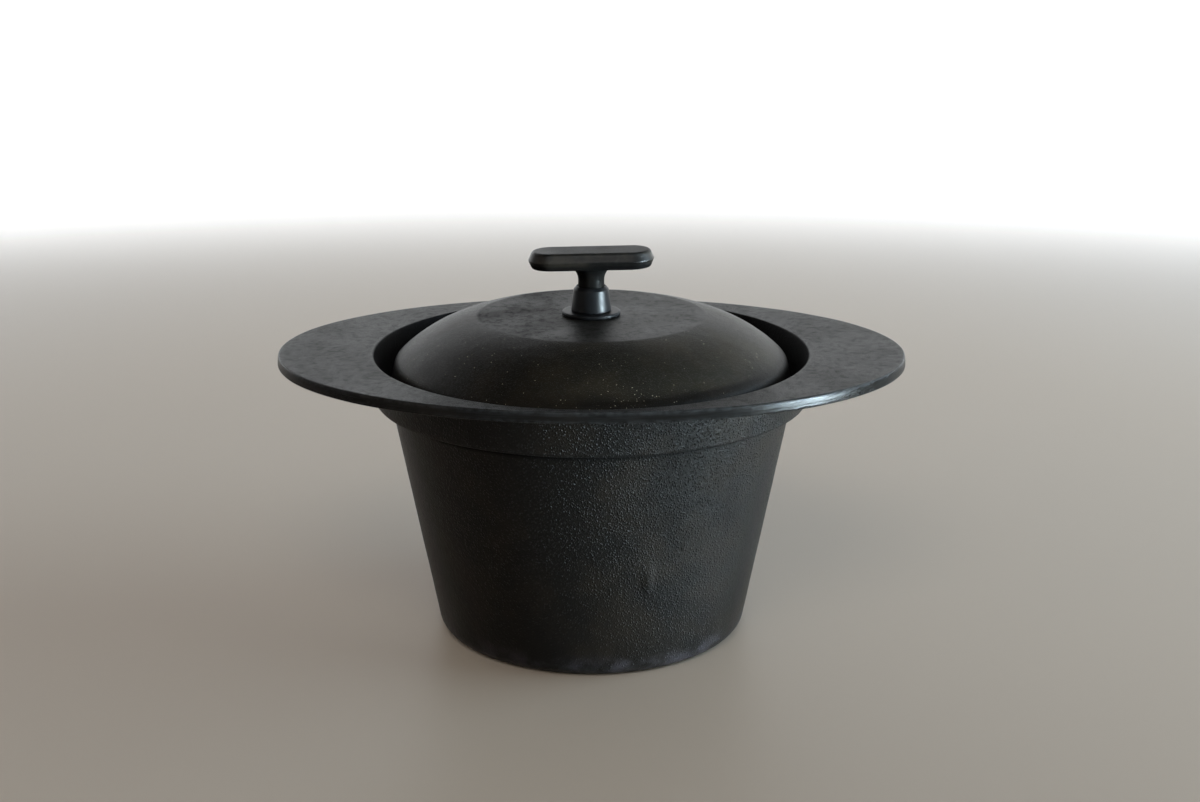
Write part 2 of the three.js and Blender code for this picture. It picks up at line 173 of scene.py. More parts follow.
def turnedTree():
    tree = bpy.data.node_groups.new("turnedPiece", "GeometryNodeTree")
    board = Board(tree)
    sockets = {
        "Profile": "Geometry", "Facets": "Int", "Oval Reach": "Float", "Across Flats": "Float",
        "Thread Pitch": "Float", "Thread Depth": "Float", "Wave Size": "Float", "Wave Height": "Float",
        "Pebble Size": "Float", "Pebble Height": "Float", "Mark Place": "Vector", "Mark Size": "Vector",
        "Mark Height": "Float", "Seed": "Float", "Finish": "Material",
    }
    for name, kind in sockets.items():
        tree.interface.new_socket(name, in_out="INPUT", socket_type="NodeSocket" + kind)
    tree.interface.new_socket("Shape", in_out="OUTPUT", socket_type="NodeSocketGeometry")
    given = board.node("NodeGroupInput")
    profile, facets = given.also("Profile"), given.also("Facets")

    rings = board.node("GeometryNodeAttributeDomainSize", None, {"Geometry": profile}, "Point Count")
    grid = board.node("GeometryNodeMeshGrid", None, {"Vertices X": facets + 1, "Vertices Y": rings})
    index = board.node("GeometryNodeInputIndex")
    column = board.sum("FLOOR", index / rings)
    ring = index - column * rings
    angle = column * (2 * math.pi) / facets

    def fromProfile(value, kind="FLOAT"):
        return board.node("GeometryNodeSampleIndex", {"data_type": kind, "domain": "POINT"},
                          {"Geometry": profile, "Value": value, "Index": ring})

    def attribute(name):
        return board.node("GeometryNodeInputNamedAttribute", {"data_type": "FLOAT"}, {"Name": name})

    spot = board.node("ShaderNodeSeparateXYZ", None,
                      {0: fromProfile(board.node("GeometryNodeInputPosition"), "FLOAT_VECTOR")})
    turn = spot.also("Z") / given.also("Thread Pitch") - angle / (2 * math.pi)
    groove = board.sum("PINGPONG", turn, 0.5) * 2
    radius = spot.also("X") - groove * fromProfile(attribute("threaded")) * given.also("Thread Depth")
    fromFlat = board.sum("FLOORED_MODULO", angle, math.pi / 3) - math.pi / 6
    flats = given.also("Across Flats") / 2 / board.sum("COSINE", fromFlat)
    radius = board.sum("MINIMUM", radius, flats)
    along = radius + fromProfile(attribute("oval")) * given.also("Oval Reach")
    place = board.node("ShaderNodeCombineXYZ", None, {
        "X": along * board.sum("COSINE", angle), "Y": radius * board.sum("SINE", angle), "Z": spot.also("Z")})
    shape = board.node("GeometryNodeSetPosition", None, {"Geometry": grid, "Position": place})
    for name in ("pebbled", "ground", "sanded", "inner", "sooty", "wear"):
        shape = board.node("GeometryNodeStoreNamedAttribute", {"data_type": "FLOAT", "domain": "POINT"},
                           {"Geometry": shape, "Name": name, "Value": fromProfile(attribute(name))})
    shape = board.node("GeometryNodeMergeByDistance", None, {"Geometry": shape, "Distance": 0.002 * mm})

    here = board.node("GeometryNodeInputPosition")

    def unevenness(size, detail):
        sockets = {"Vector": here, "W": given.also("Seed"), "Scale": 1 / given.also(size), "Detail": detail}
        return board.node("ShaderNodeTexNoise", {"noise_dimensions": "4D"}, sockets) - 0.5

    wave = unevenness("Wave Size", 1.0) * given.also("Wave Height")
    pebble = unevenness("Pebble Size", 0.0) * given.also("Pebble Height") * attribute("pebbled")
    fromMark = board.vector("SUBTRACT", here, given.also("Mark Place"))
    fromMark = board.vector("DIVIDE", fromMark, given.also("Mark Size"))
    square = board.vector("DOT_PRODUCT", fromMark, fromMark, "Value")
    mark = board.sum("EXPONENT", 0 - square) * given.also("Mark Height")
    lift = board.node("ShaderNodeVectorMath", {"operation": "SCALE"}, {
        0: board.node("GeometryNodeInputNormal"), "Scale": wave + pebble + mark})
    shape = board.node("GeometryNodeSetPosition", None, {"Geometry": shape, "Offset": lift})
    shape = board.node("GeometryNodeSetShadeSmooth", None, {"Geometry": shape})
    shape = board.node("GeometryNodeRealizeInstances", None, {"Geometry": shape})
    shape = board.node("GeometryNodeSetMaterial", None, {"Geometry": shape, "Material": given.also("Finish")})
    board.node("NodeGroupOutput", None, {"Shape": shape})
    return tree


turnedPiece = turnedTree()
roundPiece = {"Facets": 96, "Oval Reach": 0.0, "Across Flats": 1.0, "Thread Pitch": 1.0, "Thread Depth": 0.0,
              "Wave Size": 0.02, "Wave Height": 0.0, "Pebble Size": 0.002, "Pebble Height": 0.0,
              "Mark Place": (0.0, 0.0, 0.0), "Mark Size": (1.0, 1.0, 1.0), "Mark Height": 0.0, "Seed": 0.0}


def outwards(mesh):  # faces of a closed mesh point out
    work = bmesh.new()
    work.from_mesh(mesh)
    bmesh.ops.recalc_face_normals(work, faces=work.faces)
    work.to_mesh(mesh)
    work.free()


def plainMesh(piece, name):  # the modifiers' result as the piece's own mesh
    graph = bpy.context.evaluated_depsgraph_get()
    shaped = piece.evaluated_get(graph)
    made = bpy.data.meshes.new_from_object(shaped, preserve_all_data_layers=True, depsgraph=graph)
    piece.modifiers.clear()
    piece.data = made
    made.name = name
    outwards(made)
    made.shade_smooth()


def turn(name, rows, sizes, finish):
    mesh = bpy.data.meshes.new(name + "Profile")
    places = [(row[0] * mm, 0.0, row[1] * mm) for row in rows]
    mesh.from_pydata(places, [(i, i + 1) for i in range(len(rows) - 1)], [])
    for column, key in enumerate(("oval", "wear") + skinNames, 2):
        layer = mesh.attributes.new(key, "FLOAT", "POINT")
        layer.data.foreach_set("value", rows[:, column].astype(np.float32))
    piece = bpy.data.objects.new(name, mesh)
    scene.collection.objects.link(piece)
    modifier = piece.modifiers.new("turned", "NODES")
    modifier.node_group = turnedPiece
    given = {**roundPiece, **sizes, "Finish": finish}
    for item in turnedPiece.interface.items_tree:
        if item.name in given:
            modifier[item.identifier] = given[item.name]
    plainMesh(piece, name)
    print("turned", name, len(piece.data.polygons), "faces")
    return piece


def put(piece, node, body):
    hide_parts(node)
    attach(piece, body)


# Finishes

def newFinish(name):
    material = bpy.data.materials.new(name)
    material.use_nodes = True
    return material, Board(material.node_tree)


def ownPlace(board):  # a point of the piece, whole and parted into X, Y and Z
    place = board.node("ShaderNodeTexCoord", None, None, "Object")
    return place, board.node("ShaderNodeSeparateXYZ", None, {0: place})


def noise(board, place, scale, detail=2.0, rough=0.5):
    return board.node("ShaderNodeTexNoise", None,
                      {"Vector": place, "Scale": scale, "Detail": detail, "Roughness": rough})


def cells(board, place, scale):
    return board.node("ShaderNodeTexVoronoi", None, {"Vector": place, "Scale": scale})


def attributeOf(board, name):
    return board.node("ShaderNodeAttribute", {"attribute_name": name}, None, "Fac")


def bump(board, height, distance, strength=1.0):
    return board.node("ShaderNodeBump", None, {"Strength": strength, "Distance": distance, "Height": height})


def surface(board, colour, roughness, normal, **fixed):
    sockets = {"Base Color": colour, "Roughness": roughness, "Normal": normal, **fixed}
    return board.node("ShaderNodeBsdfPrincipled", None, sockets)


def show(board, shader):
    board.node("ShaderNodeOutputMaterial", None, {"Surface": shader})


# painted shade: a near-black, very rough, barely reflecting shader that is mixed over a skin where shade
# falls
paintedShadeLook = {"tone": (0.0022, 0.0021, 0.0020, 1), "roughness": 0.9, "ior": 1.12}


def paintedShadeOver(board, share, skin, normal):
    soot = surface(board, paintedShadeLook["tone"], paintedShadeLook["roughness"], normal, Metallic=0.0, IOR=paintedShadeLook["ior"])
    show(board, board.node("ShaderNodeMixShader", None, {0: share, 1: skin, 2: soot}))


def toolMarks(board, place, spot, scale):  # they run round the piece
    far = board.vector("LENGTH", board.vector("MULTIPLY", place, (1, 1, 0)), (0, 0, 0), "Value")
    marks = {"X": far * scale, "Y": spot.also("Z") * scale, "Z": 0.0}
    return noise(board, board.node("ShaderNodeCombineXYZ", None, marks), 1.0, 2.0, 0.5)


castLook = {
    "sanded": (0.0135, 0.0126, 0.0114, 1), "scuff": (0.0320, 0.0315, 0.0310, 1),
    "worn": (0.0600, 0.0600, 0.0615, 1), "speck": (0.4500, 0.4100, 0.3000, 1),
    "footBand": (0.0300, 0.0270, 0.0310, 1), "driftScale": 900.0, "drift": 0.0004, "fineBeads": 1.9,
    "coarseScale": 60.0, "sandScale": 2600.0, "strokeTurn": 6, "strokeRise": 1500, "blotchScale": 38.0,
    "patchScale": 120.0, "edgeScale": 420.0, "footBandScale": 75.0, "footBandTop": 0.011, "mottleScale": 330.0,
}


def castIron(name, look):
    material, board = newFinish(name)
    place, spot = ownPlace(board)
    pebbled, ground = attributeOf(board, "pebbled"), attributeOf(board, "ground")
    sanded, inner, sooty, wear = (attributeOf(board, key) for key in ("sanded", "inner", "sooty", "wear"))
    angle = board.sum("ARCTAN2", spot.also("Y"), spot.also("X"))

    # grain of the skin: peel and beads on the cast faces, sand on the flat ones, strokes on the ground edge
    drift = noise(board, place, castLook["driftScale"], 1.0).also("Color")
    drift = board.vector("SUBTRACT", drift, (0.5, 0.5, 0.5))
    drift = board.vector("MULTIPLY", drift, (castLook["drift"],) * 3)
    grainPlace = board.vector("ADD", place, drift)
    large = cells(board, grainPlace, look["beadScale"])
    fine = cells(board, grainPlace, look["beadScale"] * castLook["fineBeads"])
    share = board.node("ShaderNodeSeparateColor", None, {0: large.also("Color")})
    beads = board.rise(large, 0.5, 0.0) * (0.2 + share * 0.8) + board.rise(fine, 0.5, 0.0) * 0.2
    coarse = 0.7 + board.rise(noise(board, place, castLook["coarseScale"], 3.0, 0.6), 0.3, 0.7) * 0.3
    coarse = coarse * (look["lowGrain"] + board.rise(spot.also("Z"), 0.0, 0.07) * (1 - look["lowGrain"]))
    coarse = coarse * (look["sideGrain"] + board.rise(spot, -0.045, 0.035) * (1 - look["sideGrain"]))
    peel = noise(board, place, look["peelScale"], 2.0, 0.55)
    sand = noise(board, place, castLook["sandScale"], 3.0, 0.6)
    stroke = {"X": angle * castLook["strokeTurn"], "Y": spot.also("Z") * castLook["strokeRise"], "Z": 0.0}
    strokes = noise(board, board.node("ShaderNodeCombineXYZ", None, stroke), 1.0, 3.0, 0.6)
    height = pebbled * (peel * 0.12 + beads * coarse)
    height = height + sand * (0.05 + sanded * 0.20) + ground * strokes * 0.13
    normal = bump(board, height, look["grainHeight"])

    # colour: brown blotches, grey sanded faces with scuffs, worn edges, a lighter patchy band at the foot
    blotch = noise(board, place, castLook["blotchScale"], 4.0, 0.6)
    colour = board.blend(board.rise(blotch, 0.42, 0.66) * look["brownShare"], look["dark"], look["brown"])
    colour = board.blend(sanded * look["sandedShare"], colour, castLook["sanded"])
    patch = noise(board, place, castLook["patchScale"], 5.0, 0.65)
    colour = board.blend(sanded * board.rise(patch, 0.52, 0.70) * 0.55, colour, castLook["scuff"])
    colour = board.blend(ground * board.rise(strokes, 0.45, 0.75) * 0.3, colour, castLook["scuff"])
    edge = wear * board.rise(noise(board, place, castLook["edgeScale"], 4.0, 0.6), 0.35, 0.62)
    colour = board.blend(edge * look["wornShare"], colour, castLook["worn"])
    # a lighter, patchy band on the cast skin up to a little above the foot
    footBand = board.rise(noise(board, place, castLook["footBandScale"], 4.0, 0.6), 0.42, 0.62)
    footBand = pebbled * board.rise(spot.also("Z"), castLook["footBandTop"], 0.003) * footBand
    colour = board.blend(footBand * look["footBandShare"], colour, castLook["footBand"])

    # pale specks, thick in one place and few elsewhere
    if look["speckShare"]:
        grains = cells(board, place, look["speckScale"])
        chance = board.node("ShaderNodeSeparateColor", None, {0: grains.also("Color")})
        fromHeap = board.vector("SUBTRACT", place, look["speckPlace"])
        fromHeap = board.vector("DIVIDE", fromHeap, look["speckReach"])
        heap = board.sum("EXPONENT", 0 - board.vector("DOT_PRODUCT", fromHeap, fromHeap, "Value"))
        wanted = board.sum("LESS_THAN", chance, heap * look["speckShare"] + look["speckRest"])
        size = 0.09 + chance.also("Green") * 0.16
        seen = wanted * board.sum("LESS_THAN", grains, size) * pebbled
        colour = board.blend(seen * (0.35 + chance.also("Blue") * 0.6), colour, castLook["speck"])

    roughness = look["roughness"] + (blotch - 0.5) * 0.1 + (sand - 0.5) * (0.12 + sanded * 0.16)
    roughness = roughness + sanded * 0.01 - ground * 0.19 - edge * 0.06 + inner * 0.12
    iron = surface(board, colour, roughness, normal, Metallic=0.0, IOR=look["ior"])

    # painted shade under the collar and in the mouth gap; a darker, duller patchy share towards -X and
    # mottling on the flat faces; a duller ground edge
    # flat faces darker and duller towards -X, in patches
    dullPatch = sanded * board.rise(spot.also("X"), look["dullPatchEnd"], look["dullPatchStart"])
    dullPatch = dullPatch * board.rise(blotch, 0.10, 0.70)
    mottle = board.rise(noise(board, place, castLook["mottleScale"], 5.0, 0.75), 0.46, 0.64) * 0.75
    mottle = mottle + board.rise(blotch, 0.40, 0.62) * 0.25
    dull = sooty * 0.85 + dullPatch * 0.55 + sanded * mottle * 0.42 + ground * 0.3
    paintedShadeOver(board, dull, iron, normal)
    return material


# Pot

pot = {
    "baseRadius": 62.5, "wallSlope": 0.187, "wall": 4.2, "floor": 5.0, "ledgeHeight": 100.0,
    "ledgeRadius": 82.0, "ledgeWidth": 5.0, "collarUnder": 96.2, "collarFoot": 86.706, "collarHead": 88.539,
    "soot": 2.2, "brimUnder": 110.3, "brimTop": 114.5, "mouthRadius": 86.7, "brimSide": 91.0,
    "brimEnd": 125.0, "facets": 300,
}
potLook = {
    "dark": (0.0036, 0.0032, 0.0028, 1), "brown": (0.0110, 0.0078, 0.0050, 1), "brownShare": 0.5,
    "peelScale": 480.0, "beadScale": 1050.0, "grainHeight": 0.00092, "lowGrain": 0.25, "sideGrain": 0.35,
    "roughness": 0.42, "ior": 1.25, "sandedShare": 0.75, "wornShare": 0.32, "footBandShare": 0.8,
    "speckShare": 0.0, "dullPatchStart": -1.0, "dullPatchEnd": -0.9,
}


def potCorners(p):
    def wallAt(z):
        return p["baseRadius"] + p["wallSlope"] * z

    lip = p["ledgeRadius"] - p["ledgeWidth"]
    paintedShadeFoot = p["collarUnder"] - p["soot"]
    return [
        (0, 0, 0, 0, 0, 10, "plain"),
        (p["baseRadius"], 0, 5.0, 0, 0.25, 58, "cast"),
        # painted shade on a band of the wall just under the collar
        (wallAt(paintedShadeFoot), paintedShadeFoot, 0, 0, 0, 2, "sooty"),
        (wallAt(p["collarUnder"]), p["collarUnder"], 1.5, 0, 0, 4, "sooty"),
        (p["collarFoot"], p["collarUnder"], 1.5, 0, 0.3, 10, "cast"),
        (p["collarHead"], p["brimUnder"], 1.2, 0, 0, 12, "cast"),
        (p["brimSide"] - 1.1, p["brimUnder"], 0, 1, 0, 2, "cast"),
        (p["brimSide"], p["brimUnder"], 0.5, 1, 0.8, 3, "ground"),
        (p["brimSide"] - 0.06, p["brimUnder"] + 1.5, 0, 1, 0, 2, "ground"),  # the edge is slightly crowned
        (p["brimSide"] - 0.18, p["brimUnder"] + 2.7, 0, 1, 0, 2, "ground"),
        (p["brimSide"] - 0.40, p["brimTop"], 0.7, 1, 1, 3, "sanded"),
        (p["brimSide"] - 1.8, p["brimTop"], 0, 1, 0, 20, "sanded"),
        (p["mouthRadius"] + 1.6, p["brimTop"], 0, 0, 0, 3, "sanded"),
        # painted shade from the mouth's rounding down its inner wall and over the ledge, in the gap round the
        # lid
        (p["mouthRadius"], p["brimTop"], 0.7, 0, 0.9, 10, "sooty"),
        (p["ledgeRadius"], p["ledgeHeight"], 1.2, 0, 0, 5, "sooty"),
        (lip, p["ledgeHeight"], 1.0, 0, 0.3, 24, "inner"),
        (wallAt(p["floor"]) - p["wall"], p["floor"], 8.0, 0, 0, 14, "inner"),
        (0, p["floor"], 0, 0, 0, 1, "inner"),
    ]


potIron = castIron("seasonedPotSkin", potLook)
potPiece = turn("pot_casting", turnedProfile(potCorners(pot)), {
    "Facets": pot["facets"], "Oval Reach": (pot["brimEnd"] - pot["brimSide"]) * mm,
    "Wave Size": 0.022, "Wave Height": 0.00025, "Pebble Size": 0.0030, "Pebble Height": 0.00008,
    "Mark Place": (0.0224, -0.0670, 0.0425), "Mark Size": (0.0017, 0.0060, 0.0058), "Mark Height": 0.0010,
    "Seed": 4.0}, potIron)
put(potPiece, "pot_body", "pot")


# Lid

lid = {
    "seat": 100.3, "radius": 80.7, "thickness": 4.0, "edge": 0.8, "crown": 128.4, "crownRadius": 45.4,
    "crownSlope": 10, "shoulderInset": 3.8, "shoulderHeight": 12.4, "shoulderRadius": 6.0, "skirtSlope": 78,
    "bore": 3.4, "facets": 280,
}
lidLook = {
    "dark": (0.0080, 0.0066, 0.0045, 1), "brown": (0.0150, 0.0110, 0.0064, 1), "brownShare": 0.8,
    "peelScale": 700.0, "beadScale": 1800.0, "grainHeight": 0.00024, "lowGrain": 1.0, "sideGrain": 1.0,
    "roughness": 0.43, "ior": 1.215, "sandedShare": 0.45, "wornShare": 0.35, "footBandShare": 0.0,
    "speckShare": 0.95, "speckRest": 0.05, "speckScale": 1250.0, "speckPlace": (0.013, -0.0730, 0.1075),
    "speckReach": (0.017, 0.008, 0.0065), "dullPatchStart": -0.045, "dullPatchEnd": 0.02,
}


def lidSurface(p, inset, domeSteps, shoulderSteps):  # from the crown's edge down to the skirt
    crownEdge = np.array((p["crownRadius"], p["crown"]))
    shoulder = np.array((p["radius"] - p["shoulderInset"], p["seat"] + p["shoulderHeight"]))
    chord = shoulder - crownEdge
    slope = math.radians(p["crownSlope"])
    inwards = np.array((-math.sin(slope), -math.cos(slope)))
    domeRadius = chord @ chord / (2 * (chord @ inwards))
    centre = crownEdge + inwards * domeRadius
    endSlope = slope + 2 * math.asin(np.linalg.norm(chord) / (2 * domeRadius))
    shoulderCentre = shoulder - np.array((math.sin(endSlope), math.cos(endSlope))) * p["shoulderRadius"]
    roundness = max(p["shoulderRadius"] - inset, p["edge"])
    domeAngles = np.linspace(slope, endSlope, domeSteps + 1)
    shoulderAngles = np.linspace(endSlope, math.radians(p["skirtSlope"]), shoulderSteps + 1)[1:]
    dome = [centre + (domeRadius - inset) * np.array((math.sin(a), math.cos(a))) for a in domeAngles]
    return dome + [shoulderCentre + roundness * np.array((math.sin(a), math.cos(a))) for a in shoulderAngles]


def lidCorners(p):
    outer = lidSurface(p, 0, 34, 7)
    inner = lidSurface(p, p["thickness"], 18, 5)
    under = p["crown"] - p["thickness"]
    corners = [(p["bore"], under, 0, 0, 0, 14, "cast")]
    corners += [(*spot, 0, 0, 0, 1, "cast") for spot in inner[:-1]]
    corners += [
        (*inner[-1], 0, 0, 0, 6, "cast"),
        (p["radius"] - p["thickness"], p["seat"], 0.4, 0, 0, 4, "cast"),
        (p["radius"], p["seat"], p["edge"], 0, 0.6, 8, "cast"),
    ]
    corners += [(*spot, 0, 0, 0, 1, "cast") for spot in outer[:0:-1]]
    corners += [(*outer[0], 8.0, 0, 0.12, 30, "sanded"), (p["bore"], p["crown"], 0.3, 0, 0, 5, "plain")]
    return corners


lidIron = castIron("seasonedLidSkin", lidLook)
lidPiece = turn("lid_casting", turnedProfile(lidCorners(lid), True), {
    "Facets": lid["facets"], "Wave Size": 0.020, "Wave Height": 0.00022,
    "Pebble Size": 0.0032, "Pebble Height": 0.00011, "Seed": 9.0}, lidIron)
put(lidPiece, "lid", "lid")


# Ferrule and the washer under it

ferrule = {"foot": 130.0, "top": 140.1, "footRadius": 8.0, "topRadius": 7.0, "shoulder": 1.4, "recess": 5.5,
           "recessDepth": 0.8, "bore": 3.4}
seatWasher = {"foot": 128.45, "top": 129.95, "radius": 11.6, "edge": 0.5, "bore": 3.4}
turnedLook = {"dark": (0.0040, 0.0041, 0.0045, 1), "thin": (0.0110, 0.0112, 0.0120, 1), "toolScale": 5200,
              "roughness": 0.38, "ior": 1.24}
washerLook = {**turnedLook, "roughness": 0.42}


def blackenedSteel(name, look):
    material, board = newFinish(name)
    place, spot = ownPlace(board)
    rings = toolMarks(board, place, spot, look["toolScale"])
    patch = noise(board, place, 260.0, 4.0, 0.6)
    fine = noise(board, place, 2400.0, 2.0, 0.5)
    edge = attributeOf(board, "wear") * board.rise(patch, 0.40, 0.60)
    colour = board.blend(board.rise(patch, 0.45, 0.72) * 0.3 + edge * 0.5, look["dark"], look["thin"])
    normal = bump(board, rings * 0.4 + fine * 0.3, 0.00003, 0.8)
    roughness = look["roughness"] + (patch - 0.5) * 0.1 + (rings - 0.5) * 0.06
    show(board, surface(board, colour, roughness, normal, Metallic=0.0, IOR=look["ior"]))
    return material


blackSteel = blackenedSteel("blackenedSteel", turnedLook)
dullSteel = blackenedSteel("dullBlackSteel", washerLook)


def ferruleCorners(p):
    floor = p["top"] - p["recessDepth"]
    return [
        (p["bore"], p["foot"], 0, 0, 0, 4, "plain"),
        (p["footRadius"], p["foot"], 0.35, 0, 0.8, 18, "plain"),
        (p["topRadius"], p["top"] - p["shoulder"], 0.7, 0, 0.5, 3, "plain"),
        (p["recess"] + 0.3, p["top"], 0.15, 0, 0.3, 2, "plain"),
        (p["recess"], floor, 0, 0, 0, 2, "plain"),
        (p["bore"], floor, 0, 0, 0, 10, "plain"),
    ]


def washerCorners(p, upper, lower):
    return [
        (p["bore"], p["foot"], 0.1, 0, 0, 6, "plain"),
        (p["radius"], p["foot"], lower, 0, 0.4, 3, "plain"),
        (p["radius"], p["top"], upper, 0, 0.7, 8, "plain"),
        (p["bore"], p["top"], 0.1, 0, 0, 3, "plain"),
    ]


small = {"Wave Size": 0.006, "Wave Height": 0.00006, "Seed": 2.0}
ferrulePiece = turn("ferrule_sleeve", turnedProfile(ferruleCorners(ferrule), True), small, blackSteel)
put(ferrulePiece, "ferrule", "lid")
seatPiece = turn("seat_washer_disc", turnedProfile(washerCorners(seatWasher, seatWasher["edge"], 0.3), True),
                 small, dullSteel)
put(seatPiece, "seat_washer", "lid")


# Fastening under the lid: stud, washer and cap nut

stud = {"foot": 118.1, "top": 148.35, "radius": 3.0, "pitch": 1.0, "depth": 0.55, "chamfer": 0.6}
backWasher = {"foot": 123.15, "top": 124.35, "radius": 8.0, "bore": 3.4}
capNut = {"top": 123.1, "height": 5.0, "acrossFlats": 10.0, "corner": 5.9, "face": 4.85, "chamfer": 0.55,
          "dome": 4.4, "bore": 3.2, "boreEnd": 116.5}
steelLook = {"bright": (0.40, 0.405, 0.41, 1), "dull": (0.16, 0.158, 0.155, 1), "toolScale": 4000,
             "roughness": 0.34}


def plainSteel(name, look):
    material, board = newFinish(name)
    place, spot = ownPlace(board)
    rings = toolMarks(board, place, spot, look["toolScale"])
    dullPatch = noise(board, place, 180.0, 5.0, 0.65)
    fine = noise(board, place, 1900.0, 3.0, 0.55)
    colour = board.blend(board.rise(dullPatch, 0.42, 0.66), look["bright"], look["dull"])
    normal = bump(board, rings * 0.4 + fine * 0.4, 0.00004, 0.8)
    roughness = look["roughness"] + board.rise(dullPatch, 0.40, 0.70) * 0.22 + (fine - 0.5) * 0.1
    show(board, surface(board, colour, roughness, normal, Metallic=1.0))
    return material


bareSteel = plainSteel("bareSteel", steelLook)


def studCorners(p):
    inner = p["radius"] - p["chamfer"]
    steps = int((p["top"] - p["foot"]) / p["pitch"] * 10)
    return [
        (0, p["foot"], 0, 0, 0, 3, "plain"),
        (inner, p["foot"], 0, 0, 0, 2, "plain"),
        (p["radius"], p["foot"] + p["chamfer"], 0, 0, 0.3, steps, "threaded"),
        (p["radius"], p["top"] - p["chamfer"], 0, 0, 0.3, 2, "plain"),
        (inner, p["top"], 0, 0, 0, 3, "plain"),
        (0, p["top"], 0, 0, 0, 1, "plain"),
    ]


def capNutCorners(p):
    foot = p["top"] - p["height"]
    angles = np.linspace(0, math.pi / 2, 15)
    dome = [(p["dome"] * math.cos(a), foot - p["dome"] * math.sin(a)) for a in angles]
    corners = [
        (0, p["boreEnd"], 0, 0, 0, 3, "plain"),
        (p["bore"], p["boreEnd"], 0, 0, 0, 6, "plain"),
        (p["bore"], p["top"], 0.15, 0, 0, 2, "plain"),
        (p["face"], p["top"], 0, 0, 0.3, 4, "plain"),
        (p["corner"], p["top"] - p["chamfer"], 0, 0, 0.5, 8, "plain"),
        (p["corner"], foot + p["chamfer"], 0, 0, 0.5, 4, "plain"),
        (p["face"], foot, 0, 0, 0.3, 2, "plain"),
    ]
    corners += [(radius, z, 0, 0, 0, 1, "plain") for radius, z in dome[:-1]]
    return corners + [(0, dome[-1][1], 0, 0, 0, 1, "plain")]


studPiece = turn("threaded_stud", turnedProfile(studCorners(stud)), {
    "Facets": 36, "Thread Pitch": stud["pitch"] * mm, "Thread Depth": stud["depth"] * mm}, bareSteel)
put(studPiece, "stud", "lid")
backPiece = turn("back_washer_disc", turnedProfile(washerCorners(backWasher, 0.15, 0.35), True),
                 small, bareSteel)
put(backPiece, "back_washer", "lid")
nutPiece = turn("cap_nut_dome", turnedProfile(capNutCorners(capNut)), {
    "Across Flats": capNut["acrossFlats"] * mm}, bareSteel)
put(nutPiece, "cap_nut", "lid")


# T-shaped handle: grip and neck in one casting

handle = {
    "length": 49.9, "width": 20.2, "corner": 9.3, "bevel": 1.7, "upper": 3.1, "lower": 2.9, "band": 0.9,
    "easing": 0.6, "lean": 1.4, "foot": 139.35, "underside": 147.5, "neck": 5.2, "neckEdge": 0.3,
    "flareHeight": 5.0, "flareAlong": 4.0, "flareAcross": 2.6, "bore": 3.2, "boreTop": 148.55, "drillRun": 2,
    "voxel": 0.3, "smoothing": 12,
}
handleLook = {
    "dark": (0.0048, 0.0044, 0.0040, 1), "brown": (0.0175, 0.0142, 0.0108, 1),
    "scuff": (0.0380, 0.0355, 0.0320, 1), "peelScale": 900.0, "sandScale": 2600.0, "blotchScale": 130.0,
    "scuffScale": 320.0, "roughness": 0.36, "ior": 1.28, "lean": 0.0244, "paintedShadeShare": 0.8,
}


def handleCasting(name, look):
    material, board = newFinish(name)
    place, spot = ownPlace(board)
    peel = noise(board, place, look["peelScale"], 2.0, 0.5)
    sand = noise(board, place, look["sandScale"], 3.0, 0.6)
    blotch = noise(board, place, look["blotchScale"], 4.0, 0.6)
    topFace = board.rise(spot.also("Z"), 0.1535, 0.1542)
    colour = board.blend(board.rise(blotch, 0.40, 0.64) * 0.8, look["dark"], look["brown"])
    scuff = board.rise(noise(board, place, look["scuffScale"], 5.0, 0.65), 0.52, 0.72)
    colour = board.blend(scuff * (0.25 + topFace * 0.35), colour, look["scuff"])
    normal = bump(board, peel * 0.7 + sand * 0.35, 0.00012, 0.9)
    roughness = look["roughness"] + (blotch - 0.5) * 0.25 + (sand - 0.5) * 0.1 + topFace * 0.18
    skin = surface(board, colour, roughness, normal, Metallic=0.0, IOR=look["ior"])
    # painted shade under the leaning grip: the neck and the grip's lower bevel are darkened
    low = board.rise(spot.also("Z") - spot.also("X") * look["lean"], 0.1502, 0.1488)  # under the leaning grip
    paintedShadeOver(board, low * look["paintedShadeShare"], skin, normal)
    return material


def lofted(name, rings):
    count = len(rings[0])
    faces = [tuple(reversed(range(count))), tuple(range((len(rings) - 1) * count, len(rings) * count))]
    for level in range(len(rings) - 1):
        for i in range(count):
            a, b = level * count + i, level * count + (i + 1) % count
            faces.append((a, b, b + count, a + count))
    mesh = bpy.data.meshes.new(name)
    mesh.from_pydata([tuple(np.array(spot) * mm) for ring in rings for spot in ring], [], faces)
    piece = bpy.data.objects.new(name, mesh)
    scene.collection.objects.link(piece)
    return piece


def gripRing(p, inset, z):
    lean = math.radians(p["lean"])
    middle = p["underside"] + p["lower"] + p["band"] / 2
    corner = p["corner"] - inset
    ring = []
    for i in range(4):
        centreX = (1 if i in (0, 3) else -1) * (p["length"] / 2 - inset - corner)
        centreY = (1 if i < 2 else -1) * (p["width"] / 2 - inset - corner)
        for angle in np.linspace(i, i + 1, 13) * math.pi / 2:
            x, y = centreX + corner * math.cos(angle), centreY + corner * math.sin(angle)
            ring.append((x * math.cos(lean) - (z - middle) * math.sin(lean), y,
                         middle + x * math.sin(lean) + (z - middle) * math.cos(lean)))
    return ring


def ovalRing(halfLength, halfWidth, z, count=64):
    angles = np.arange(count) * 2 * math.pi / count
    return [(halfLength * math.cos(a), halfWidth * math.sin(a), z) for a in angles]


